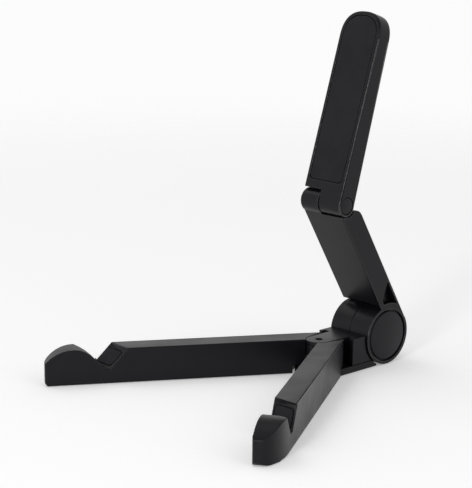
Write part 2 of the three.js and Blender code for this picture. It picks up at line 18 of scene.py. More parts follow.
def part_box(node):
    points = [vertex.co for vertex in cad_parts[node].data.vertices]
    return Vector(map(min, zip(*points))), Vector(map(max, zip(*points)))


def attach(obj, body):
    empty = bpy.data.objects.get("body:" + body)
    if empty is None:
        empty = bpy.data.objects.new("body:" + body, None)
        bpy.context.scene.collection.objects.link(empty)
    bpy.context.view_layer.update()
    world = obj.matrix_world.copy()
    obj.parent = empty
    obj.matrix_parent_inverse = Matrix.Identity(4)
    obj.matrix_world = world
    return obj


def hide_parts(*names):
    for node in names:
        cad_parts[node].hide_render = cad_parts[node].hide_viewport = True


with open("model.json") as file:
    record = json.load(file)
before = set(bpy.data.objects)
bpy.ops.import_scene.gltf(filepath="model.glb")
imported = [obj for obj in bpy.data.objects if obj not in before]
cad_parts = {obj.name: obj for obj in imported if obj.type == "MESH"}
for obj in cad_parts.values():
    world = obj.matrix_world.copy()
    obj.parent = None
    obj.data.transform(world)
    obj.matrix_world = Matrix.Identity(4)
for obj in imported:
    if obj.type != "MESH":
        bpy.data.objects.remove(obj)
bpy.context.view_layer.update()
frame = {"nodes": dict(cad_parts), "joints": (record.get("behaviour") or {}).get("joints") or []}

MM = 0.001
# faces of rounded edges, where the plastic paints a highlight and adds gloss
ROUNDED_FACE_LAYER = "rounded_face"
MERGE_DISTANCE = 2e-6
SLIVER = 8e-6
FLAT_ANGLE = math.radians(0.3)
SHARP_ANGLE = math.radians(34)
FLOAT_MIX = (2, 3, 0)
COLOUR_MIX = (6, 7, 2)
LOG = logging.getLogger("tablet_stand")

Profile = list[tuple[float, float]]
Span = tuple[float, float]
Colour = tuple[float, float, float]
Corner = tuple[float, float, float]


class Body(Enum):
    """The bodies that pieces ride on."""

    HUB = "hub"
    LOWER_ARM = "lower_arm"
    UPPER_ARM = "upper_arm"
    LEG_LEFT = "leg_left"
    LEG_RIGHT = "leg_right"


class Slot(Enum):
    """The record's material slots."""

    PLASTIC = "black_plastic"
    CAP = "cap_plastic"
    RUBBER = "black_rubber"
    STEEL = "plated_steel"
    NYLON = "nylon"


class Axis(Enum):
    """Direction a turned piece's axis runs along."""

    X = "x"
    Z = "z"


# ---- node groups ----------------------------------------------------------------------
class TreeMaker:
    """Adds nodes to a shader node tree."""

    def __init__(self, tree: bpy.types.NodeTree) -> None:
        """Keeps the tree.

        Args:
            tree: The tree that nodes are added to.
        """
        self.tree = tree

    def node(self, kind: str, **settings: object) -> bpy.types.Node:
        """Adds a node and sets its properties.

        Args:
            kind: The node's class name.
            settings: Properties to set.

        Returns:
            The new node.
        """
        made = self.tree.nodes.new(kind)
        for key, value in settings.items():
            setattr(made, key, value)
        return made

    def math(self, operation: str, first: object, second: object) -> bpy.types.NodeSocket:
        """Adds a Math node.

        Args:
            operation: Its operation.
            first: A socket or a number.
            second: A socket or a number.

        Returns:
            The node's output.
        """
        made = self.node("ShaderNodeMath", operation=operation)
        for socket, value in zip(made.inputs, (first, second)):
            self.feed(value, socket)
        return made.outputs[0]

    def feed(self, value: object, socket: bpy.types.NodeSocket) -> None:
        """Links a socket, or sets a number, on another socket.

        Args:
            value: A socket or a number.
            socket: The input that takes it.
        """
        if isinstance(value, bpy.types.NodeSocket):
            self.tree.links.new(value, socket)
        else:
            socket.default_value = value

    def noise(self, scale: object, detail: float, rough: float = 0.5) -> bpy.types.NodeSocket:
        """Adds a noise texture on object coordinates.

        Args:
            scale: A socket or a number, in features per metre.
            detail: Number of octaves.
            rough: Strength of the finer octaves.

        Returns:
            The noise value.
        """
        place = self.node("ShaderNodeTexCoord")
        made = self.node("ShaderNodeTexNoise")
        self.tree.links.new(place.outputs["Object"], made.inputs["Vector"])
        self.feed(scale, made.inputs["Scale"])
        made.inputs["Detail"].default_value = detail
        made.inputs["Roughness"].default_value = rough
        return made.outputs[0]

    def ramp(
        self, value: bpy.types.NodeSocket, source: Span, target: Span = (0.0, 1.0)
    ) -> bpy.types.NodeSocket:
        """Maps a value smoothly from one span to another.

        Args:
            value: The value's socket.
            source: The span it comes from.
            target: The span it goes to.

        Returns:
            The mapped value.
        """
        made = self.node("ShaderNodeMapRange", interpolation_type="SMOOTHSTEP")
        self.feed(value, made.inputs["Value"])
        for name, number in zip(("From Min", "From Max", "To Min", "To Max"), (*source, *target)):
            made.inputs[name].default_value = number
        return made.outputs[0]

    def choose(self, mask: bpy.types.NodeSocket, first: object, second: object) -> bpy.types.NodeSocket:
        """Picks one of two numbers by a mask.

        Args:
            mask: The mask's socket.
            first: Number or socket where the mask is 0.
            second: Number or socket where it is 1.

        Returns:
            The chosen number.
        """
        made = self.node("ShaderNodeMix")
        self.feed(mask, made.inputs[0])
        self.feed(first, made.inputs[FLOAT_MIX[0]])
        self.feed(second, made.inputs[FLOAT_MIX[1]])
        return made.outputs[FLOAT_MIX[2]]


class GroupMaker(TreeMaker):
    """Builds a shader node group with named inputs and outputs."""

    def __init__(self, name: str, inputs: dict[str, float], outputs: tuple[str, ...]) -> None:
        """Makes a group with its sockets and its input and output nodes.

        Args:
            name: The group's name.
            inputs: Number inputs with their defaults.
            outputs: Number outputs.
        """
        super().__init__(bpy.data.node_groups.new(name, "ShaderNodeTree"))
        for key, value in inputs.items():
            made = self.tree.interface.new_socket(key, in_out="INPUT", socket_type="NodeSocketFloat")
            made.default_value = value
        for key in outputs:
            self.tree.interface.new_socket(key, in_out="OUTPUT", socket_type="NodeSocketFloat")
        self.inputs = self.tree.nodes.new("NodeGroupInput").outputs
        self.outputs = self.tree.nodes.new("NodeGroupOutput").inputs


def grain_group() -> bpy.types.NodeTree:
    """Fine spark-eroded texture of a moulded surface.

    Returns:
        A group with Scale and Depth inputs and a Height output.
    """
    pit_scale, fine_share, pit_share = 0.8, 0.7, 0.3
    made = GroupMaker("moulded_grain", {"Scale": 2400.0, "Depth": 0.4}, ("Height",))
    fine = made.noise(made.inputs["Scale"], 3.0, 0.6)
    pits = made.node("ShaderNodeTexVoronoi")
    place = made.node("ShaderNodeTexCoord")
    made.feed(place.outputs["Object"], pits.inputs["Vector"])
    made.feed(made.math("MULTIPLY", made.inputs["Scale"], pit_scale), pits.inputs["Scale"])
    fine = made.math("MULTIPLY", fine, fine_share)
    both = made.math("ADD", fine, made.math("MULTIPLY", pits.outputs["Distance"], pit_share))
    made.feed(made.math("MULTIPLY", both, made.inputs["Depth"]), made.outputs["Height"])
    return made.tree


def handling_group() -> bpy.types.NodeTree:
    """Faint large smudges and fine scuffs left by handling.

    Returns:
        A group with a Size input and Smudge and Scuff outputs.
    """
    smudge_span, scuff_span, scuff_scale = (0.35, 0.7), (0.56, 0.72), 14.0
    made = GroupMaker("handling_marks", {"Size": 60.0}, ("Smudge", "Scuff"))
    cloud = made.noise(made.inputs["Size"], 4.0, 0.55)
    made.feed(made.ramp(cloud, smudge_span), made.outputs["Smudge"])
    scratch = made.noise(made.math("MULTIPLY", made.inputs["Size"], scuff_scale), 6.0, 0.75)
    made.feed(made.ramp(scratch, scuff_span), made.outputs["Scuff"])
    return made.tree


def edge_highlight_and_gloss_group() -> bpy.types.NodeTree:
    """Painted highlight and extra gloss on the rounded edges, broken up by noise.

    Returns:
        A group with an Amount input and a Mask output.
    """
    noise_scale, noise_span, kept_span = 320.0, (0.25, 0.6), (0.65, 1.0)
    made = GroupMaker("edge_highlight_and_gloss", {"Amount": 0.6}, ("Mask",))
    edge = made.node("ShaderNodeAttribute", attribute_name=ROUNDED_FACE_LAYER)
    broken = made.ramp(made.noise(noise_scale, 3.0, 0.6), noise_span, kept_span)
    masked = made.math("MULTIPLY", edge.outputs["Fac"], broken)
    made.feed(made.math("MULTIPLY", masked, made.inputs["Amount"]), made.outputs["Mask"])
    return made.tree


class Effects:
    """The shader node groups that the finishes share, each built once."""

    def __init__(self) -> None:
        """Builds the groups."""
        self.grain = grain_group()
        self.handling = handling_group()
        # mask of the rounded edges: painted highlight in the colour, real gloss in the coat
        self.edge = edge_highlight_and_gloss_group()


class MaterialMaker(TreeMaker):
    """Wires one material around a Principled BSDF."""

    def __init__(self, name: str) -> None:
        """Starts a material.

        Args:
            name: The material's name.
        """
        self.material = bpy.data.materials.new(name)
        self.material.use_nodes = True
        super().__init__(self.material.node_tree)
        self.shader = self.tree.nodes["Principled BSDF"]

    def group(self, tree: bpy.types.NodeTree, **values: float) -> bpy.types.Node:
        """Places a node group.

        Args:
            tree: The group.
            values: Its inputs, by name.

        Returns:
            The group's node.
        """
        made = self.node("ShaderNodeGroup")
        made.node_tree = tree
        for key, value in values.items():
            made.inputs[key].default_value = value
        return made

    def blend(self, mask: bpy.types.NodeSocket, first: object, second: object) -> bpy.types.NodeSocket:
        """Mixes two colours by a mask.

        Args:
            mask: Socket that chooses the second colour.
            first: Colour where the mask is 0, or a socket.
            second: Colour where the mask is 1, or a socket.

        Returns:
            The mixed colour.
        """
        made = self.node("ShaderNodeMix", data_type="RGBA")
        self.feed(mask, made.inputs[0])
        for place, value in zip(COLOUR_MIX, (first, second)):
            colour = value if isinstance(value, bpy.types.NodeSocket) else (*value, 1.0)
            self.feed(colour, made.inputs[place])
        return made.outputs[COLOUR_MIX[2]]

    def span(self, value: object, low: float, high: float) -> bpy.types.NodeSocket:
        """Maps a 0 to 1 value to a span.

        Args:
            value: The value's socket.
            low: Result at 0.
            high: Result at 1.

        Returns:
            The mapped value.
        """
        made = self.node("ShaderNodeMapRange")
        self.feed(value, made.inputs["Value"])
        made.inputs["To Min"].default_value = low
        made.inputs["To Max"].default_value = high
        return made.outputs[0]

    def bump(self, height: object, strength: float, depth: float) -> None:
        """Feeds a height to the shader's normal.

        Args:
            height: The height's socket.
            strength: Strength of the bump.
            depth: Its depth in metres.
        """
        made = self.node("ShaderNodeBump")
        made.inputs["Strength"].default_value = strength
        made.inputs["Distance"].default_value = depth
        self.feed(height, made.inputs["Height"])
        self.link(made.outputs["Normal"], "Normal")

    def constant(self, name: str, value: float) -> None:
        """Sets a number on the shader.

        Args:
            name: The socket's name.
            value: Its value.
        """
        self.shader.inputs[name].default_value = value

    def link(self, value: bpy.types.NodeSocket, name: str) -> None:
        """Links a socket to the shader.

        Args:
            value: The socket.
            name: The shader's input.
        """
        self.tree.links.new(value, self.shader.inputs[name])


# ---- finishes -------------------------------------------------------------------------
@dataclass(frozen=True)
class MouldedPlastic:
    """Satin black injection-moulded plastic."""

    name: str
    body: Colour
    smudge: Colour
    # painted highlight colour of the rounded edges
    edge_highlight_colour: Colour
    roughness: float = 0.34
    specular: float = 0.19
    grain: float = 2400.0
    depth: float = 0.35
    # strength of the rounded-edge mask: painted highlight and extra gloss
    edge: float = 0.6
    edge_gloss: float = 1.4
    edge_gloss_roughness: float = 0.22
    smudge_size: float = 48.0
    smudge_span: Span = (-0.03, 0.05)
    scuff_rough: float = 0.05
    edge_smooth: float = 0.12
    bump_strength: float = 0.5
    bump_depth: float = 0.00006

    def make(self, effects: Effects) -> bpy.types.Material:
        """Builds the material.

        Args:
            effects: The shared node groups.

        Returns:
            The material.
        """
        made = MaterialMaker(self.name)
        grain = made.group(effects.grain, Scale=self.grain, Depth=self.depth)
        marks = made.group(effects.handling, Size=self.smudge_size)
        # mask of the rounded edges, for the painted highlight and the extra gloss
        edge = made.group(effects.edge, Amount=self.edge)
        smudged = made.blend(marks.outputs["Smudge"], self.body, self.smudge)
        # painted highlight: the rounded edges take a lighter base colour
        made.link(made.blend(edge.outputs["Mask"], smudged, self.edge_highlight_colour), "Base Color")
        low, high = self.smudge_span
        rough = made.span(marks.outputs["Smudge"], self.roughness + low, self.roughness + high)
        rough = made.math("ADD", rough, made.math("MULTIPLY", marks.outputs["Scuff"], self.scuff_rough))
        rough = made.math("SUBTRACT", rough, made.math("MULTIPLY", edge.outputs["Mask"], self.edge_smooth))
        made.link(rough, "Roughness")
        made.link(made.math("MULTIPLY", edge.outputs["Mask"], self.edge_gloss), "Coat Weight")
        made.constant("Coat Roughness", self.edge_gloss_roughness)
        made.bump(grain.outputs["Height"], self.bump_strength, self.bump_depth)
        made.constant("Specular IOR Level", self.specular)
        return made.material


@dataclass(frozen=True)
class SoftRubber:
    """Matt black rubber with a fine pebbled skin."""

    name: str
    body: Colour
    dusty: Colour
    roughness: float = 0.66
    specular: float = 0.25
    pebble: float = 1500.0
    pebble_depth: float = 0.8
    mark_size: float = 70.0
    dust_share: float = 0.5
    uneven: float = 0.06
    bump_strength: float = 0.6
    bump_depth: float = 0.00012

    def make(self, effects: Effects) -> bpy.types.Material:
        """Builds the material.

        Args:
            effects: The shared node groups.

        Returns:
            The material.
        """
        made = MaterialMaker(self.name)
        grain = made.group(effects.grain, Scale=self.pebble, Depth=self.pebble_depth)
        marks = made.group(effects.handling, Size=self.mark_size)
        dust = made.math("MULTIPLY", marks.outputs["Scuff"], self.dust_share)
        made.link(made.blend(dust, self.body, self.dusty), "Base Color")
        low, high = self.roughness - self.uneven, self.roughness + self.uneven
        made.link(made.span(marks.outputs["Smudge"], low, high), "Roughness")
        made.bump(grain.outputs["Height"], self.bump_strength, self.bump_depth)
        made.constant("Specular IOR Level", self.specular)
        return made.material


@dataclass(frozen=True)
class PlatedSteel:
    """Bright zinc-plated steel with a fine grain."""

    name: str
    bright: Colour
    dull: Colour
    roughness: float = 0.24
    worn_rough: float = 0.16
    grain: float = 5200.0
    grain_depth: float = 0.3
    mark_size: float = 260.0
    bump_strength: float = 0.3
    bump_depth: float = 0.00003

    def make(self, effects: Effects) -> bpy.types.Material:
        """Builds the material.

        Args:
            effects: The shared node groups.

        Returns:
            The material.
        """
        made = MaterialMaker(self.name)
        grain = made.group(effects.grain, Scale=self.grain, Depth=self.grain_depth)
        marks = made.group(effects.handling, Size=self.mark_size)
        made.link(made.blend(marks.outputs["Smudge"], self.bright, self.dull), "Base Color")
        rough = made.span(marks.outputs["Scuff"], self.roughness, self.roughness + self.worn_rough)
        made.link(rough, "Roughness")
        made.bump(grain.outputs["Height"], self.bump_strength, self.bump_depth)
        made.constant("Metallic", 1.0)
        return made.material


@dataclass(frozen=True)
class NaturalNylon:
    """Milky nylon of the friction rings."""

    name: str
    body: Colour
    greased: Colour
    roughness: Span = (0.5, 0.32)
    grain: float = 3000.0
    grain_depth: float = 0.4
    mark_size: float = 180.0
    bump_strength: float = 0.4
    bump_depth: float = 0.00005

    def make(self, effects: Effects) -> bpy.types.Material:
        """Builds the material.

        Args:
            effects: The shared node groups.

        Returns:
            The material.
        """
        made = MaterialMaker(self.name)
        grain = made.group(effects.grain, Scale=self.grain, Depth=self.grain_depth)
        marks = made.group(effects.handling, Size=self.mark_size)
        made.link(made.blend(marks.outputs["Smudge"], self.body, self.greased), "Base Color")
        made.link(made.span(marks.outputs["Smudge"], *self.roughness), "Roughness")
        made.bump(grain.outputs["Height"], self.bump_strength, self.bump_depth)
        return made.material


class Finishes:
    """The stand's materials, by record slot."""

    def __init__(self) -> None:
        """Builds every material once."""
        effects = Effects()
        plastic = MouldedPlastic(
            "black_plastic", body=(0.0052, 0.0050, 0.0068), smudge=(0.0066, 0.0064, 0.0084),
            # painted highlight colour of the rounded edges
            edge_highlight_colour=(0.018, 0.018, 0.021),
        )
        cap = MouldedPlastic(
            "cap_plastic", body=(0.0062, 0.0060, 0.0080), smudge=(0.0084, 0.0082, 0.0104),
            # painted highlight colour of the cap's rounded edges
            edge_highlight_colour=(0.020, 0.020, 0.023), roughness=0.32, grain=3200.0, depth=0.25,
        )
        rubber = SoftRubber("black_rubber", (0.0050, 0.0048, 0.0078), (0.0085, 0.0083, 0.0118))
        steel = PlatedSteel("plated_steel", (0.72, 0.73, 0.75), (0.60, 0.61, 0.62))
        nylon = NaturalNylon("nylon", (0.62, 0.60, 0.54), (0.50, 0.48, 0.42))
        self.by_slot = {
            Slot.PLASTIC: plastic.make(effects),
            Slot.CAP: cap.make(effects),
            Slot.RUBBER: rubber.make(effects),
            Slot.STEEL: steel.make(effects),
            Slot.NYLON: nylon.make(effects),
        }

    def dress(self, thing: bpy.types.Object, slot: Slot) -> None:
        """Puts a material on an object.

        Args:
            thing: The object.
            slot: The slot whose material it takes.
        """
        thing.data.materials.clear()
        thing.data.materials.append(self.by_slot[slot])

    def dress_node(self, node: str, slot: Slot) -> None:
        """Reassigns a CAD node's material slots.

        Args:
            node: The node's name.
            slot: The slot whose material it takes.
        """
        for place in frame["nodes"][node].material_slots:
            place.material = self.by_slot[slot]
        LOG.info("dressed %s as %s", node, slot.value)


# ---- mesh tools -----------------------------------------------------------------------
@dataclass(frozen=True)
class Placement:
    """Frame of an arm or a leg: its pivot, and its turn from the modelled position."""

    origin: Vector
    turn: Matrix

    def local(self, point: Vector) -> Vector:
        """A row-frame point in the sub-assembly's frame, in millimetres."""
        return self.turn.inverted() @ (point - self.origin) / MM

    def local_direction(self, direction: Vector) -> Vector:
        """A row-frame direction in the sub-assembly's frame."""
        return self.turn.inverted() @ direction

    def matrix(self) -> Matrix:
        """The matrix from the sub-assembly's frame, in metres, to the row frame."""
        return Matrix.Translation(self.origin) @ self.turn.to_4x4()


EdgeTest = Callable[[bmesh.types.BMEdge], bool]


def inside(place: Placement, low: Corner, high: Corner) -> EdgeTest:
    """A test for edges that lie wholly in a box of a sub-assembly's frame.

    Args:
        place: The sub-assembly's frame.
        low: The box's low corner, in millimetres.
        high: Its high corner.

    Returns:
        The test.
    """
    def test(edge: bmesh.types.BMEdge) -> bool:
        """Whether both of an edge's ends are in the box."""
        return all(
            a <= c <= b for vert in edge.verts for a, c, b in zip(low, place.local(vert.co), high)
        )

    return test


@dataclass(frozen=True)
class Flank:
    """Chooses an arm's outer edges, whose faces both look away from the arm's core line.

    Edges nearer the middle than side are only taken beyond tip_reach, and none before from_reach.
    """

    place: Placement
    core_height: float
    core_reach: Span
    side: float
    tip_reach: float
    from_reach: float
    clear: float = 0.5

    def __call__(self, edge: bmesh.types.BMEdge) -> bool:
        """Whether an edge is one of them.

        Args:
            edge: The edge.

        Returns:
            Whether both its faces look away from the core line.
        """
        mid = self.place.local((edge.verts[0].co + edge.verts[1].co) / 2)
        near, far = self.core_reach
        core = Vector((0.0, -min(far, max(near, -mid.y)), self.core_height))
        if -mid.y < self.from_reach or (abs(mid.x) < self.side and -mid.y < self.tip_reach):
            return False
        return all(
            self.place.local_direction(face.normal).dot(mid - core) > self.clear for face in edge.link_faces
        )


@dataclass(frozen=True)
class Softening:
    """One pass of rounding over a shell's convex edges."""

    width: float
    segments: int = 4
    sharper_than: float = 25.0
    chosen: EdgeTest | None = None

    def apply(self, shell: bmesh.types.BMesh) -> None:
        """Rounds the edges and marks the new faces, where the plastic gets its painted edge highlight and
        extra gloss.

        Args:
            shell: The mesh to round.
        """
        limit = math.radians(self.sharper_than)
        edges = [
            e for e in shell.edges
            if len(e.link_faces) == 2 and e.calc_face_angle(0.0) > limit and e.is_convex
            and (self.chosen is None or self.chosen(e))
        ]
        made = bmesh.ops.bevel(
            shell, geom=edges, offset=self.width * MM, offset_type="OFFSET", segments=self.segments,
            profile=0.5, affect="EDGES", clamp_overlap=False, material=-1, loop_slide=True,
        )
        layer = shell.faces.layers.float.get(ROUNDED_FACE_LAYER) or shell.faces.layers.float.new(ROUNDED_FACE_LAYER)
        for face in made["faces"]:
            if face.is_valid:
                face[layer] = 1.0


def copy_of(node: str) -> bmesh.types.BMesh:
    """A merged copy of a CAD node's mesh, its flat areas made whole.

    Args:
        node: The node's name.

    Returns:
        The copy.
    """
    shell = bmesh.new()
    shell.from_mesh(frame["nodes"][node].data)
    bmesh.ops.remove_doubles(shell, verts=shell.verts, dist=SLIVER)
    bmesh.ops.dissolve_degenerate(shell, dist=SLIVER, edges=shell.edges)
    bmesh.ops.dissolve_limit(
        shell, angle_limit=FLAT_ANGLE, use_dissolve_boundaries=False, verts=shell.verts, edges=shell.edges
    )
    return shell


def keep_in_box(shell: bmesh.types.BMesh, node: str) -> None:
    """Moves back any corner that rounding pushed out of a CAD node's box.

    Args:
        shell: The mesh.
        node: The node's name.
    """
    low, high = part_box(node)
    for vert in shell.verts:
        vert.co = [min(max(c, a), b) for a, c, b in zip(low, vert.co, high)]


def turned(profile: Profile, axis: Axis, side: int, centre: Vector, steps: int = 96) -> bmesh.types.BMesh:
    """A solid of revolution.

    Args:
        profile: Points as (distance along the axis, radius), from the axis round to the axis.
        axis: The axis it turns about.
        side: 1 or -1, the way the profile's distance runs.
        centre: The point that distances are measured from, in metres.
        steps: Number of steps in the turn.

    Returns:
        The closed mesh.
    """
    made = bmesh.new()
    points = [made.verts.new((side * along * MM, 0.0, radius * MM)) for along, radius in profile]
    edges = [made.edges.new(pair) for pair in zip(points, points[1:])]
    bmesh.ops.spin(
        made, geom=[*points, *edges], cent=(0, 0, 0), axis=(1, 0, 0), angle=2 * math.pi,
        steps=steps, use_merge=True, use_duplicate=False,
    )
    bmesh.ops.remove_doubles(made, verts=made.verts, dist=MERGE_DISTANCE)
    if axis is Axis.Z:
        bmesh.ops.rotate(made, cent=(0, 0, 0), matrix=Matrix.Rotation(-math.pi / 2, 3, "Y"), verts=made.verts)
    bmesh.ops.recalc_face_normals(made, faces=made.faces)
    bmesh.ops.translate(made, vec=centre, verts=made.verts)
    return made


def joint_place(name: str) -> Vector:
    """A point on a joint's axis, in metres.

    Args:
        name: The joint's name.

    Returns:
        The point.
    """
    found = next(joint for joint in frame["joints"] if joint["name"] == name)
    return Vector(found["pos_m"])


def on_axis(node: str) -> Vector:
    """The point at x 0 on the axis of a CAD node that is round about X, in metres.

    Args:
        node: The node's name.

    Returns:
        The point.
    """
    low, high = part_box(node)
    centre = (low + high) / 2
    centre.x = 0.0
    return centre


class Workshop:
    """Turns finished meshes into pieces that ride on their bodies."""

    def __init__(self, finishes: Finishes) -> None:
        """Keeps the finishes.

        Args:
            finishes: The stand's materials.
        """
        self.finishes = finishes
        self.made: list[bpy.types.Object] = []

    def object_of(self, shell: bmesh.types.BMesh, name: str) -> bpy.types.Object:
        """Makes a smooth-shaded object from a mesh.

        Args:
            shell: The mesh, in the row frame.
            name: The object's name.

        Returns:
            The object.
        """
        mesh = bpy.data.meshes.new(name)
        shell.to_mesh(mesh)
        shell.free()
        for polygon in mesh.polygons:
            polygon.use_smooth = True
        mesh.set_sharp_from_angle(angle=SHARP_ANGLE)
        made = bpy.data.objects.new(name, mesh)
        bpy.context.scene.collection.objects.link(made)
        return made

    def finish(
        self, shell: bmesh.types.BMesh, name: str, body: Body, slot: Slot, nodes: Iterable[str] = (),
        even: bool = True,
    ) -> bpy.types.Object:
        """Makes a piece, dresses it and sets it riding.

        Args:
            shell: The piece's mesh, in the row frame.
            name: The piece's name.
            body: The body that it rides on.
            slot: The material slot it takes its finish from.
            nodes: CAD nodes that it stands for.
            even: Whether its normals follow its larger faces, as on a flat-sided shell.

        Returns:
            The piece.
        """
        made = self.object_of(shell, name)
        if even:
            modifier = made.modifiers.new("even_normals", "WEIGHTED_NORMAL")
            modifier.keep_sharp = True
        self.finishes.dress(made, slot)
        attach(made, body.value)
        names = list(nodes)
        if names:
            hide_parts(*names)
        self.made.append(made)
        LOG.info("piece %s on %s, %d faces", name, body.value, len(made.data.polygons))
        return made


# ---- hub ------------------------------------------------------------------------------
@dataclass(frozen=True)
class EndCap:
    """Round cap in the end of a barrel or a bore."""

    side: int
    radius: float = 12.95
    face: float = 12.85
    back: float = 11.8
    lip: float = 0.5
    dome: float = 0.55
    grooves: tuple[float, ...] = ()
    groove_width: float = 0.35
    groove_depth: float = 0.4
    groove_floor: float = 0.6
    bore: float = 0.0
    dome_steps: int = 22
    lip_steps: int = 5
    turn_steps: int = 128

    def profile(self) -> Profile:
        """Draws the cap's section.

        Returns:
            Its points, from the middle out over the lip and back.
        """
        points: Profile = [(self.face + self.dome, self.bore)]
        flat = self.radius - self.lip
        for i in range(1, self.dome_steps + 1):
            radius = self.bore + (flat - self.bore) * i / self.dome_steps
            points.append((self.face + self.height(radius), radius))
        for groove in self.grooves:
            points = self.cut_groove(points, groove)
        for i in range(1, self.lip_steps + 1):
            a = math.pi / 2 * i / self.lip_steps
            points.append((self.face - self.lip * (1 - math.cos(a)), flat + self.lip * math.sin(a)))
        points += [(self.back, self.radius), (self.back, self.bore)]
        if self.bore > 0:
            points.append(points[0])
        return points

    def height(self, radius: float) -> float:
        """Height of the dome at a radius.

        Args:
            radius: Distance from the axis.

        Returns:
            The height above the cap's flat.
        """
        share = min(1.0, radius / (self.radius - self.lip))
        return self.dome * (1 - share * share)

    def cut_groove(self, points: Profile, groove: float) -> Profile:
        """Adds a ring groove to the section.

        Args:
            points: The section so far.
            groove: The groove's radius.

        Returns:
            The section with the groove.
        """
        half = self.groove_width / 2
        low = half * self.groove_floor
        before = [p for p in points if p[1] < groove - half]
        after = [p for p in points if p[1] > groove + half]
        floor = self.face + self.height(groove) - self.groove_depth
        edge_in = self.face + self.height(groove - half)
        edge_out = self.face + self.height(groove + half)
        inner = [(edge_in, groove - half), (floor, groove - low)]
        outer = [(floor, groove + low), (edge_out, groove + half)]
        return [*before, *inner, *outer, *after]

    def build(self, centre: Vector) -> bmesh.types.BMesh:
        """Turns the cap.

        Args:
            centre: The point on its axis that distances are measured from.

        Returns:
            The mesh.
        """
        return turned(self.profile(), Axis.X, self.side, centre, self.turn_steps)


@dataclass(frozen=True)
class RivetHead:
    """Domed head of a pin or a bolt, with its shank behind it."""

    radius: float
    face: float
    back: float
    dome: float = 0.45
    shank: float = 1.5
    shank_back: float = 8.0
    dome_steps: int = 8
    turn_steps: int = 48

    def build(self, axis: Axis, side: int, centre: Vector) -> bmesh.types.BMesh:
        """Turns the head.

        Args:
            axis: The axis it turns about.
            side: 1 or -1, the way the head points.
            centre: The point on the axis that distances are measured from.

        Returns:
            The mesh.
        """
        points: Profile = []
        for i in range(self.dome_steps + 1):
            a = math.pi / 2 * i / self.dome_steps
            points.append((self.face - self.dome * (1 - math.cos(a)), self.radius * math.sin(a)))
        points += [(self.back, self.radius), (self.back, self.shank)]
        points += [(self.shank_back, self.shank), (self.shank_back, 0)]
        return turned(points, axis, side, centre, self.turn_steps)


@dataclass(frozen=True)
class CrossScrew:
    """Pan screw with a cross recess, pointing down."""

    radius: float = 2.1
    head: float = 0.7
    crown: tuple[Span, ...] = ((0.0, 0.72), (0.12, 0.9), (0.3, 1.0))
    arm: float = 1.15
    arm_width: float = 0.42
    recess: float = 0.55
    shank: float = 1.0
    point: float = 0.4
    turn_steps: int = 32

    def build(self, node: str) -> bmesh.types.BMesh:
        """Builds the screw.

        Args:
            node: The CAD node that it stands for, which gives its place and its length.

        Returns:
            The mesh.
        """
        low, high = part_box(node)
        foot = (low + high) / 2
        foot.z = low.z
        length = (high.z - low.z) / MM - self.point
        profile: Profile = [(0.0, 0.0), *((along, self.radius * share) for along, share in self.crown)]
        profile += [(self.head, self.radius), (self.head, self.shank)]
        profile += [(length, self.shank), (length + self.point, 0.0)]
        screw = turned(profile, Axis.Z, 1, foot, self.turn_steps)
        cutter = bmesh.new()
        for across, along in ((self.arm_width, self.arm), (self.arm, self.arm_width)):
            size = Matrix.Diagonal((2 * across * MM, 2 * along * MM, 2 * self.recess * MM, 1.0))
            bmesh.ops.create_cube(cutter, size=1.0, matrix=Matrix.Translation(foot) @ size)
        return carved(screw, cutter)


def carved(body: bmesh.types.BMesh, cutter: bmesh.types.BMesh) -> bmesh.types.BMesh:
    """Cuts one mesh from another.

    Args:
        body: The mesh that is cut.
        cutter: The mesh that is taken away; its parts may overlap.

    Returns:
        What is left.
    """
    things = []
    for shell, name in ((body, "carve_body"), (cutter, "carve_cutter")):
        mesh = bpy.data.meshes.new(name)
        shell.to_mesh(mesh)
        shell.free()
        thing = bpy.data.objects.new(name, mesh)
        bpy.context.scene.collection.objects.link(thing)
        things.append(thing)
    modifier = things[0].modifiers.new("carve", "BOOLEAN")
    modifier.operation = "DIFFERENCE"
    modifier.solver = "EXACT"
    modifier.use_self = True
    modifier.object = things[1]
    graph = bpy.context.evaluated_depsgraph_get()
    left = bmesh.new()
    left.from_mesh(things[0].evaluated_get(graph).to_mesh())
    for thing in things:
        mesh = thing.data
        bpy.data.objects.remove(thing)
        bpy.data.meshes.remove(mesh)
    return left


@dataclass
class Hub:
    """Block with the fixed half of the barrel, the plate under it and the leg pin."""

    edge: float = 0.35
    foot_edge: float = 0.25
    cap: EndCap = EndCap(side=-1, grooves=(11.3, 4.1), bore=2.75, dome=0.15)
    bolt: RivetHead = RivetHead(radius=2.45, face=13.25, back=11.0, dome=0.5, shank=2.4, shank_back=-9.0)
    screw: CrossScrew = CrossScrew(radius=2.2, head=1.0)

    def build(self, shop: Workshop) -> None:
        """Builds the hub's pieces.

        Args:
            shop: The workshop that finishes them.
        """
        axis = on_axis("barrel_bolt")
        for node, name in (("hub_body", "hub_shell"), ("hub_base_plate", "hub_plate")):
            shell = copy_of(node)
            Softening(self.edge).apply(shell)
            shop.finish(shell, name, Body.HUB, Slot.PLASTIC, [node])
        cap = self.cap.build(axis)
        shop.finish(cap, "hub_cap", Body.HUB, Slot.CAP, ["hub_end_cap"], even=False)
        bolt = self.bolt.build(Axis.X, -1, axis)
        shop.finish(bolt, "hub_bolt", Body.HUB, Slot.STEEL, ["barrel_bolt"], even=False)
        foot = copy_of("hub_foot_pad")
        Softening(self.foot_edge, 2).apply(foot)
        shop.finish(foot, "hub_foot", Body.HUB, Slot.RUBBER, ["hub_foot_pad"])
        for side in ("left", "right"):
            node = f"hub_screw_{side}"
            screw = self.screw.build(node)
            shop.finish(screw, f"hub_plate_screw_{side}", Body.HUB, Slot.STEEL, [node], even=False)
        for node in ("leg_friction_washer", "hub_friction_ring"):
            shop.finishes.dress_node(node, Slot.NYLON)
        for node in ("leg_pivot_pin", "barrel_spring_washer", "barrel_flat_washer", "barrel_nut"):
            shop.finishes.dress_node(node, Slot.STEEL)


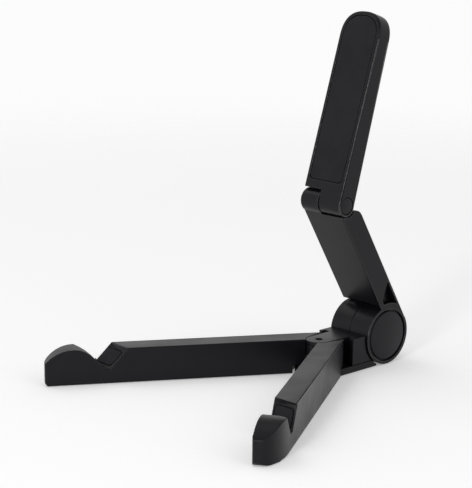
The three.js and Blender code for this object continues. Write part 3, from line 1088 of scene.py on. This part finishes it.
# ---- legs -----------------------------------------------------------------------------
@dataclass
class Leg:
    """One swinging leg with its notch, covers, screws and pads."""

    side: str
    body: Body
    splay: float = 31.9
    edge: float = 0.4
    fine_edge: float = 0.15
    cover_edge: float = 0.2
    pad_edge: float = 0.25
    screw: CrossScrew = CrossScrew(radius=2.0, head=0.6, shank=0.95)
    root: tuple[Corner, Corner] = ((-15.0, -12.0, -1.0), (15.0, 15.0, 20.0))
    seam: tuple[Corner, Corner] = ((11.45, -112.0, 17.2), (11.95, -4.0, 17.9))
    lip: tuple[Corner, Corner] = ((11.45, -112.0, 17.2), (12.6, 0.0, 17.9))
    toe: tuple[Corner, Corner] = ((0.0, -137.0, -1.0), (2.4, -133.9, 20.0))

    def placement(self) -> Placement:
        """Places the leg.

        Returns:
            The leg's frame: folded along -Y, on its pivot.
        """
        sign = 1 if self.side == "right" else -1
        origin = joint_place(f"leg_{self.side}_hinge")
        origin.z = 0.0
        mirror = Matrix.Diagonal((sign, 1.0, 1.0))
        return Placement(origin, Matrix.Rotation(sign * math.radians(self.splay), 3, "Z") @ mirror)

    def soften(self, shell: bmesh.types.BMesh) -> None:
        """Rounds the shell's edges, finely round the pivot, beside the seam and at the toe.

        Args:
            shell: The leg's shell.
        """
        place = self.placement()
        root, seam, lip, toe = (inside(place, *zone) for zone in (self.root, self.seam, self.lip, self.toe))
        small = (root, lip, toe)
        Softening(self.edge, chosen=lambda edge: not any(zone(edge) for zone in small)).apply(shell)
        Softening(self.fine_edge, chosen=lambda edge: not seam(edge)).apply(shell)

    def build(self, shop: Workshop) -> None:
        """Builds the leg's pieces.

        Args:
            shop: The workshop that finishes them.
        """
        name = f"leg_{self.side}"
        shell = copy_of(name)
        self.soften(shell)
        keep_in_box(shell, name)
        shop.finish(shell, f"{name}_shell", self.body, Slot.PLASTIC, [name])
        cover = copy_of(f"{name}_base_cover")
        Softening(self.cover_edge, 2).apply(cover)
        shop.finish(cover, f"{name}_cover", self.body, Slot.PLASTIC, [f"{name}_base_cover"])
        for part in ("foot_pad", "notch_pad"):
            pad = copy_of(f"{name}_{part}")
            Softening(self.pad_edge, 3).apply(pad)
            shop.finish(pad, f"{name}_{part}_rubber", self.body, Slot.RUBBER, [f"{name}_{part}"])
        for where in ("front", "rear"):
            node = f"{name}_screw_{where}"
            screw = self.screw.build(node)
            shop.finish(screw, f"{name}_cover_screw_{where}", self.body, Slot.STEEL, [node], even=False)


# ---- arms -----------------------------------------------------------------------------
@dataclass
class LowerArm:
    """Arm between the barrel and the elbow, with its half of both."""

    angle: float = 58.9
    edge: float = 0.6
    fine_edge: float = 0.22
    cap: EndCap = EndCap(side=1, radius=12.6, dome=0.7, lip=0.7)
    pin: RivetHead = RivetHead(radius=2.25, face=13.25, back=11.9, dome=0.45, shank=1.55, shank_back=-11.3)

    def placement(self) -> Placement:
        """The arm's frame: folded along -Y, on the barrel's axis."""
        return Placement(joint_place("barrel_hinge"), Matrix.Rotation(-math.radians(self.angle), 3, "X"))

    def build(self, shop: Workshop) -> None:
        """Builds the lower arm's pieces.

        Args:
            shop: The workshop that finishes them.
        """
        shell = copy_of("lower_arm")
        flank = Flank(
            self.placement(), core_height=9.0, core_reach=(40.0, 78.3), side=12.5, tip_reach=200.0,
            from_reach=28.0,
        )
        Softening(self.edge, chosen=flank).apply(shell)
        Softening(self.fine_edge).apply(shell)
        keep_in_box(shell, "lower_arm")
        shop.finish(shell, "lower_arm_shell", Body.LOWER_ARM, Slot.PLASTIC, ["lower_arm"])
        cap = self.cap.build(on_axis("barrel_bolt"))
        shop.finish(cap, "lower_arm_cap", Body.LOWER_ARM, Slot.CAP, ["arm_end_cap"], even=False)
        pin = self.pin.build(Axis.X, -1, on_axis("elbow_pin"))
        shop.finish(pin, "elbow_rivet", Body.LOWER_ARM, Slot.STEEL, ["elbow_pin"], even=False)
        shop.finishes.dress_node("arm_friction_ring", Slot.NYLON)
        shop.finishes.dress_node("elbow_washer", Slot.NYLON)


@dataclass
class UpperArm:
    """Arm that the tablet's back leans on, with its rubber pad."""

    angle: float = 107.2
    long_edge: float = 1.0
    edge: float = 0.6
    fine_edge: float = 0.15
    pad_edge: float = 0.7
    plug: EndCap = EndCap(side=1, radius=4.15, face=12.8, back=11.7, lip=0.3, dome=0.2)

    def placement(self) -> Placement:
        """The arm's frame: folded along -Y, on the elbow's axis."""
        return Placement(joint_place("elbow_hinge"), Matrix.Rotation(-math.radians(self.angle), 3, "X"))

    def build(self, shop: Workshop) -> None:
        """Builds the upper arm's pieces.

        Args:
            shop: The workshop that finishes them.
        """
        shell = copy_of("upper_arm")
        flank = Flank(
            self.placement(), core_height=0.0, core_reach=(0.0, 82.0), side=12.5, tip_reach=60.0,
            from_reach=-20.0,
        )
        Softening(self.long_edge, 5, chosen=replace(flank, from_reach=7.0)).apply(shell)
        Softening(self.edge, chosen=flank).apply(shell)
        Softening(self.fine_edge).apply(shell)
        keep_in_box(shell, "upper_arm")
        shop.finish(shell, "upper_arm_shell", Body.UPPER_ARM, Slot.PLASTIC, ["upper_arm"])
        pad = copy_of("upper_arm_pad")
        Softening(self.pad_edge, 4).apply(pad)
        shop.finish(pad, "upper_arm_rubber", Body.UPPER_ARM, Slot.RUBBER, ["upper_arm_pad"])
        plug = self.plug.build(on_axis("elbow_cap"))
        shop.finish(plug, "elbow_plug", Body.UPPER_ARM, Slot.CAP, ["elbow_cap"], even=False)
        shop.finishes.dress_node("elbow_nut", Slot.STEEL)


# ---- studio ---------------------------------------------------------------------------
@dataclass(frozen=True)
class Lamp:
    """A soft rectangular lamp aimed at the stand."""

    name: str
    place: tuple[float, float, float]
    size: Span
    power: float
    aim: tuple[float, float, float] = (0.0, -0.03, 0.05)

    def build(self) -> None:
        """Makes the lamp."""
        data = bpy.data.lights.new(self.name, "AREA")
        data.shape = "RECTANGLE"
        data.size, data.size_y = self.size
        data.energy = self.power
        lamp = bpy.data.objects.new(self.name, data)
        lamp.location = self.place
        lamp.rotation_euler = (Vector(self.aim) - Vector(self.place)).to_track_quat("-Z", "Y").to_euler()
        bpy.context.scene.collection.objects.link(lamp)


@dataclass(frozen=True)
class Studio:
    """Pale floor, white surroundings, soft lamps and the camera."""

    floor_half: float = 6.0
    floor_colour: Colour = (0.90, 0.90, 0.90)
    floor_mottle: float = 0.99
    floor_roughness: float = 0.9
    floor_specular: float = 0.1
    floor_lift: float = 0.25
    floor_fade: Span = (0.35, 1.1)
    white: float = 0.97
    ceiling: float = 0.38
    ceiling_span: Span = (0.3, 0.8)
    light: float = 0.57
    lamps: tuple[Lamp, ...] = (
        Lamp("key_lamp", (-0.9, -0.3, 1.6), (1.2, 1.2), 4.5),
        Lamp("side_lamp", (1.2, 0.1, 0.7), (0.7, 0.9), 1.5),
        Lamp("edge_lamp", (0.40, -1.09, 0.43), (0.16, 0.50), 3.5, (0.0, 0.0, 0.13)),
    )
    azimuth: float = 43.99
    elevation: float = 14.38
    roll: float = 1.24
    distance: float = 0.76004
    target: tuple[float, float, float] = (0.0, -0.02733, 0.04373)
    lens: float = 113.66
    sensor: float = 36.0
    shift: Span = (-0.1547, 0.0961)
    clip: Span = (0.01, 50.0)

    def build_floor(self) -> None:
        """Lays the floor."""
        shell = bmesh.new()
        bmesh.ops.create_grid(shell, x_segments=2, y_segments=2, size=self.floor_half)
        mesh = bpy.data.meshes.new("studio_floor")
        shell.to_mesh(mesh)
        shell.free()
        floor = bpy.data.objects.new("studio_floor", mesh)
        bpy.context.scene.collection.objects.link(floor)
        made = MaterialMaker("pale_floor")
        mottle = made.noise(3.0, 2.0)
        dim = tuple(self.floor_mottle * part for part in self.floor_colour)
        made.link(made.blend(mottle, self.floor_colour, dim), "Base Color")
        made.constant("Roughness", self.floor_roughness)
        made.constant("Specular IOR Level", self.floor_specular)
        self.lift(made)
        self.fade(made)
        mesh.materials.append(made.material)

    def lift(self, made: MaterialMaker) -> None:
        """Lets the floor glow a little to the camera, so that it meets the white beyond.

        Args:
            made: The floor's material.
        """
        paths = made.node("ShaderNodeLightPath")
        seen = made.math("MAXIMUM", paths.outputs["Is Camera Ray"], paths.outputs["Is Glossy Ray"])
        seen = made.math("MAXIMUM", seen, paths.outputs["Is Transmission Ray"])
        made.shader.inputs["Emission Color"].default_value = (1.0, 1.0, 1.0, 1.0)
        made.link(made.math("MULTIPLY", seen, self.floor_lift), "Emission Strength")

    def fade(self, made: MaterialMaker) -> None:
        """Lets the floor give way to the white beyond it, away from the stand.

        Args:
            made: The floor's material.
        """
        place = made.node("ShaderNodeTexCoord")
        away = made.node("ShaderNodeVectorMath", operation="LENGTH")
        made.feed(place.outputs["Object"], away.inputs[0])
        made.link(made.ramp(away.outputs["Value"], self.floor_fade, (1.0, 0.0)), "Alpha")

    def build_world(self) -> None:
        """Surrounds the scene with white that lights it at a plain level.

        Reflections see it dim towards the ceiling.
        """
        world = bpy.data.worlds.new("studio_world")
        bpy.context.scene.world = world
        world.use_nodes = True
        made = TreeMaker(world.node_tree)
        back = made.tree.nodes["Background"]
        back.inputs["Color"].default_value = (1.0, 1.0, 1.0, 1.0)
        paths = made.node("ShaderNodeLightPath")
        place = made.node("ShaderNodeTexCoord")
        split = made.node("ShaderNodeSeparateXYZ")
        made.feed(place.outputs["Generated"], split.inputs[0])
        rise = made.ramp(split.outputs["Z"], self.ceiling_span, (self.white, self.ceiling))
        seen = made.math("MAXIMUM", paths.outputs["Is Camera Ray"], paths.outputs["Is Transmission Ray"])
        strength = made.choose(paths.outputs["Is Glossy Ray"], self.light, rise)
        made.feed(made.choose(seen, strength, self.white), back.inputs["Strength"])

    def build_camera(self) -> None:
        """Makes the camera."""
        a, e = math.radians(self.azimuth), math.radians(self.elevation)
        look = Vector((-math.sin(a) * math.cos(e), math.cos(a) * math.cos(e), -math.sin(e)))
        right = Vector((math.cos(a), math.sin(a), 0.0))
        up = right.cross(look)
        turn = math.radians(self.roll)
        right, up = (
            right * math.cos(turn) + up * math.sin(turn),
            up * math.cos(turn) - right * math.sin(turn),
        )
        data = bpy.data.cameras.new("camera")
        data.lens = self.lens
        data.sensor_width = self.sensor
        data.shift_x, data.shift_y = self.shift
        data.clip_start, data.clip_end = self.clip
        camera = bpy.data.objects.new("camera", data)
        bpy.context.scene.collection.objects.link(camera)
        basis = Matrix((right, up, -look)).transposed().to_4x4()
        camera.matrix_world = Matrix.Translation(Vector(self.target) - look * self.distance) @ basis
        bpy.context.scene.camera = camera

    def build(self) -> None:
        """Builds the whole studio."""
        self.build_camera()
        self.build_floor()
        self.build_world()
        for lamp in self.lamps:
            lamp.build()
        bpy.context.scene.view_settings.view_transform = "Standard"


@dataclass
class TabletStand:
    """The whole stand, as the sub-assemblies that make it up."""

    hub: Hub = field(default_factory=Hub)
    legs: tuple[Leg, ...] = (Leg("left", Body.LEG_LEFT), Leg("right", Body.LEG_RIGHT))
    lower_arm: LowerArm = field(default_factory=LowerArm)
    upper_arm: UpperArm = field(default_factory=UpperArm)

    def build(self, shop: Workshop) -> None:
        """Builds every sub-assembly in order.

        Args:
            shop: The workshop that finishes the pieces.
        """
        for part in (self.hub, *self.legs, self.lower_arm, self.upper_arm):
            part.build(shop)


def main() -> None:
    """Builds the studio and the stand."""
    logging.basicConfig(level=logging.INFO, format="%(message)s")
    Studio().build()
    shop = Workshop(Finishes())
    TabletStand().build(shop)
    LOG.info("%d new pieces", len(shop.made))


if __name__ == "__main__":
    main()
